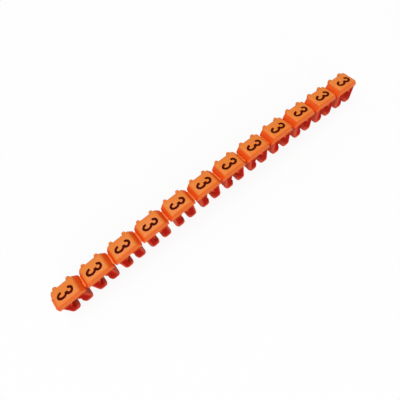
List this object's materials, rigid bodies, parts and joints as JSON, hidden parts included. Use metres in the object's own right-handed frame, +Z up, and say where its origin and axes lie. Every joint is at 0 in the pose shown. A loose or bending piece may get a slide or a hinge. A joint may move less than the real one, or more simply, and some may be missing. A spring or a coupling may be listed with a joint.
{
  "type": "cable marker strip",
  "caption": "Arched strip of clip-on cable markers, each a sloped roof with a printed figure on a C-shaped clip that snaps over a cable, joined by thin break-off webs.",
  "frame": {"origin": "middle of the strip, half way through the roofs' depth, at the level that its end clips stand on", "axes": "+X along the strip towards its whole end, +Y along the cables towards the lugs, +Z up through the top faces"},
  "size_m": [0.0575, 0.0033, 0.0053],
  "materials": {
    "orange_plastic": "semi-gloss moulded",
    "black_ink": "satin print"
  },
  "bodies": {
    "root": {"marker_strip": "orange_plastic"}
  },
  "joints": []
}
